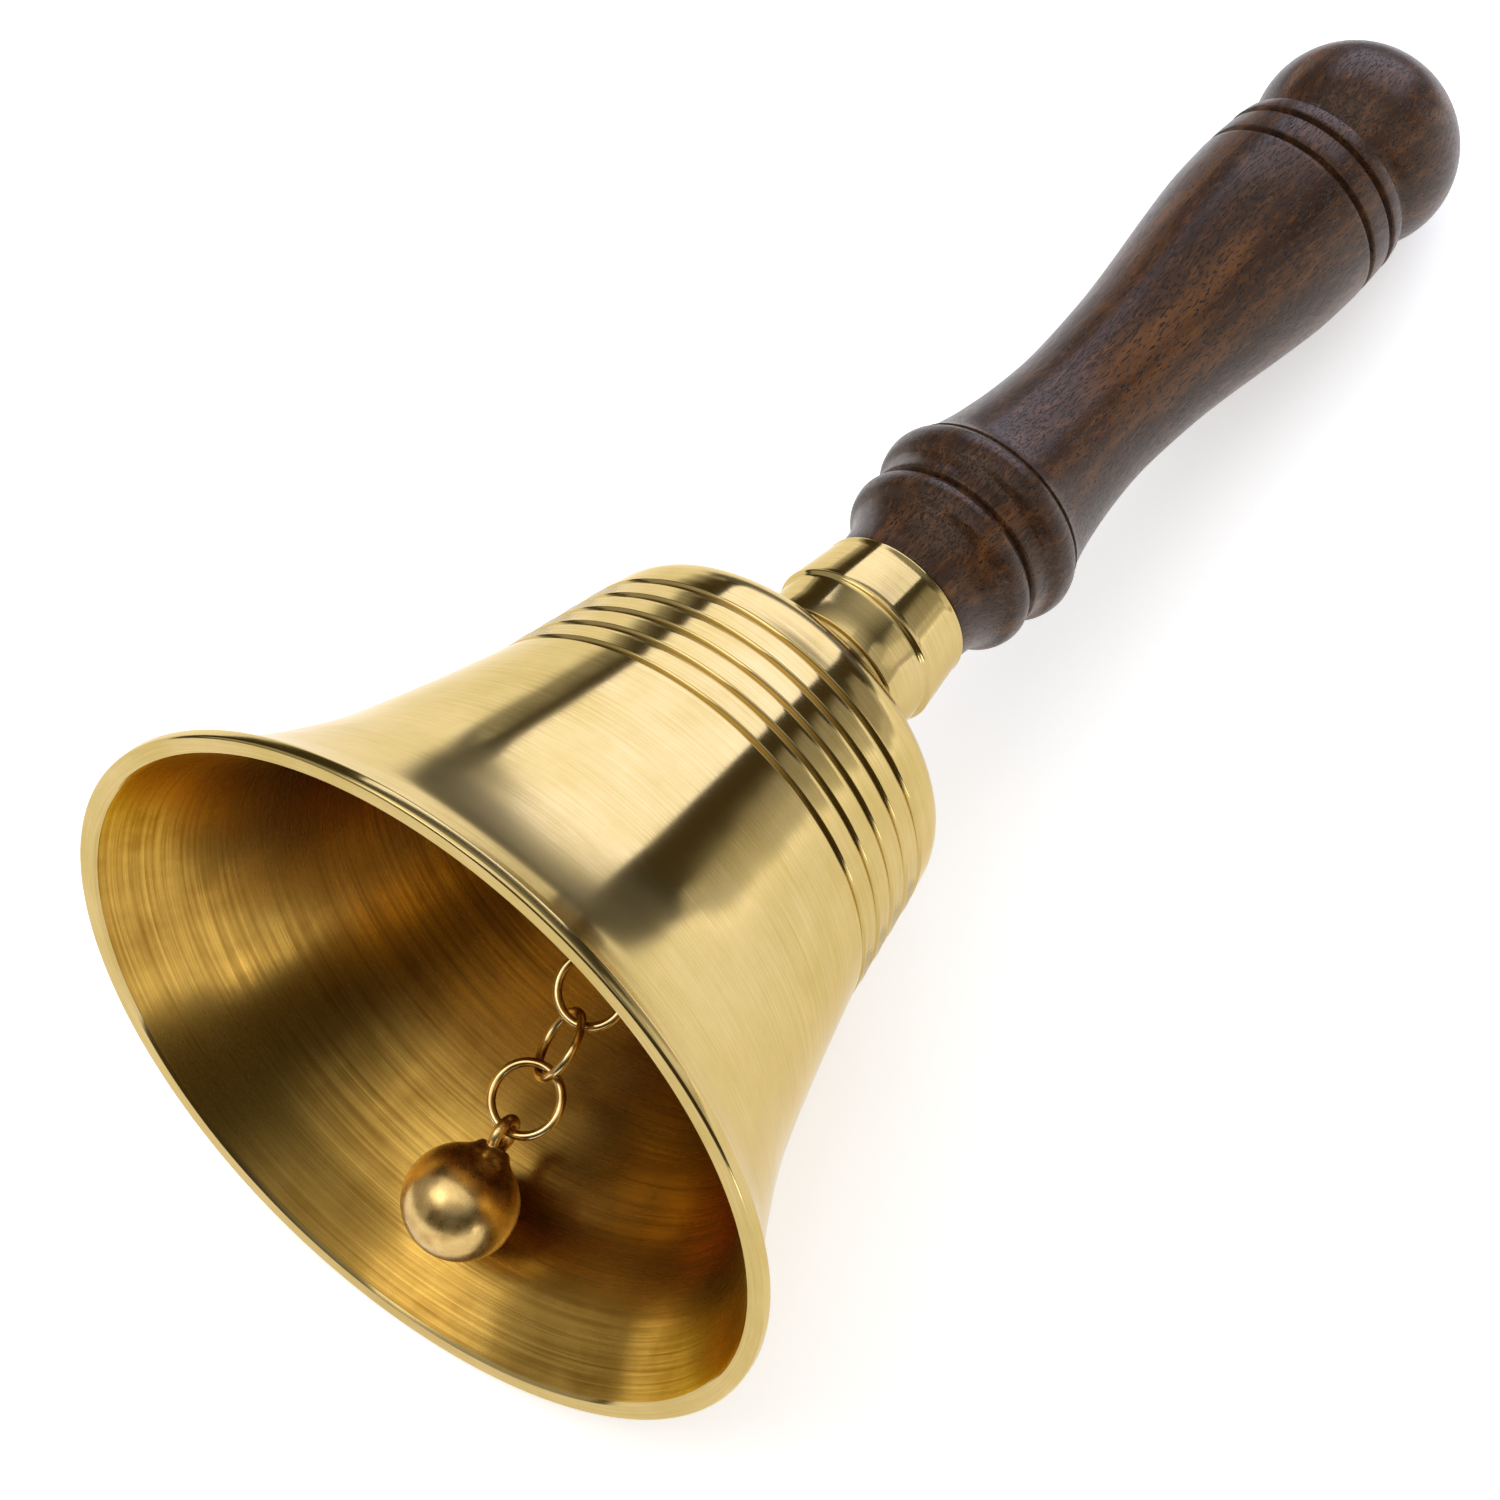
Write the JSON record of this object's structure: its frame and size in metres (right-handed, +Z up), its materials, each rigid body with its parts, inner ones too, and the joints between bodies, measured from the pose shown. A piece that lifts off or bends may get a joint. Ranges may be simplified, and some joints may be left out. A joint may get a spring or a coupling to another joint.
{
  "type": "sanctus bell",
  "caption": "Turned brass hand bell with a turned dark hardwood handle, a stepped brass neck and a ball clapper hanging on a short chain of round rings.",
  "frame": {"origin": "bottom centre of the bounding box of the bell lying on its side, on the surface that it rests on", "axes": "+X from the mouth towards the ball end of the handle, +Z up; the bell's own axis lies in XZ and dips 10.7 degrees towards the handle"},
  "size_m": [0.2026, 0.0958, 0.0941],
  "materials": {
    "polished_brass": "fine turned and polished",
    "aged_brass": "polished, darkened with age",
    "zinc_steel": "zinc plated",
    "dark_hardwood": "turned, lacquered semi-gloss"
  },
  "bodies": {
    "bell": {"bell_shell": "polished_brass", "neck_ferrule": "polished_brass", "handle": "dark_hardwood", "eye_bolt": "zinc_steel", "crown_washer": "aged_brass", "clamp_nut": "zinc_steel"},
    "chain_link_6": {"chain_link_6": "aged_brass"},
    "chain_link_5": {"chain_link_5": "aged_brass"},
    "chain_link_4": {"chain_link_4": "aged_brass"},
    "chain_link_3": {"chain_link_3": "aged_brass"},
    "chain_link_2": {"chain_link_2": "aged_brass"},
    "chain_link_1": {"chain_link_1": "aged_brass"},
    "clapper": {"clapper": "aged_brass"}
  },
  "joints": [
    {"name": "chain_link_6_hinge", "type": "hinge", "parent": "bell", "child": "chain_link_6", "pos_m": [-0.04287, 0, 0.03779], "axis": [0, 1, 0], "range_deg": [0, 71]},
    {"name": "chain_link_5_hinge", "type": "hinge", "parent": "chain_link_6", "child": "chain_link_5", "pos_m": [-0.04857, 0, 0.03409], "axis": [0.5116, 0, -0.8592], "range_deg": [-5, 5]},
    {"name": "chain_link_4_hinge", "type": "hinge", "parent": "chain_link_5", "child": "chain_link_4", "pos_m": [-0.0548, 0, 0.03038], "axis": [0, -1, 0], "range_deg": [-60, 0]},
    {"name": "chain_link_3_hinge", "type": "hinge", "parent": "chain_link_4", "child": "chain_link_3", "pos_m": [-0.06117, 0, 0.02691], "axis": [-0.4442, 0, 0.8959], "range_deg": [-8, 8]},
    {"name": "chain_link_2_hinge", "type": "hinge", "parent": "chain_link_3", "child": "chain_link_2", "pos_m": [-0.06766, 0, 0.02369], "axis": [0, -1, 0], "range_deg": [-60, 0]},
    {"name": "chain_link_1_hinge", "type": "hinge", "parent": "chain_link_2", "child": "chain_link_1", "pos_m": [-0.07428, 0, 0.02072], "axis": [0.3742, 0, -0.9274], "range_deg": [-15, 15]},
    {"name": "clapper_hinge", "type": "hinge", "parent": "chain_link_1", "child": "clapper", "pos_m": [-0.081, 0, 0.01801], "axis": [0, -1, 0], "range_deg": [-70, 0]}
  ]
}
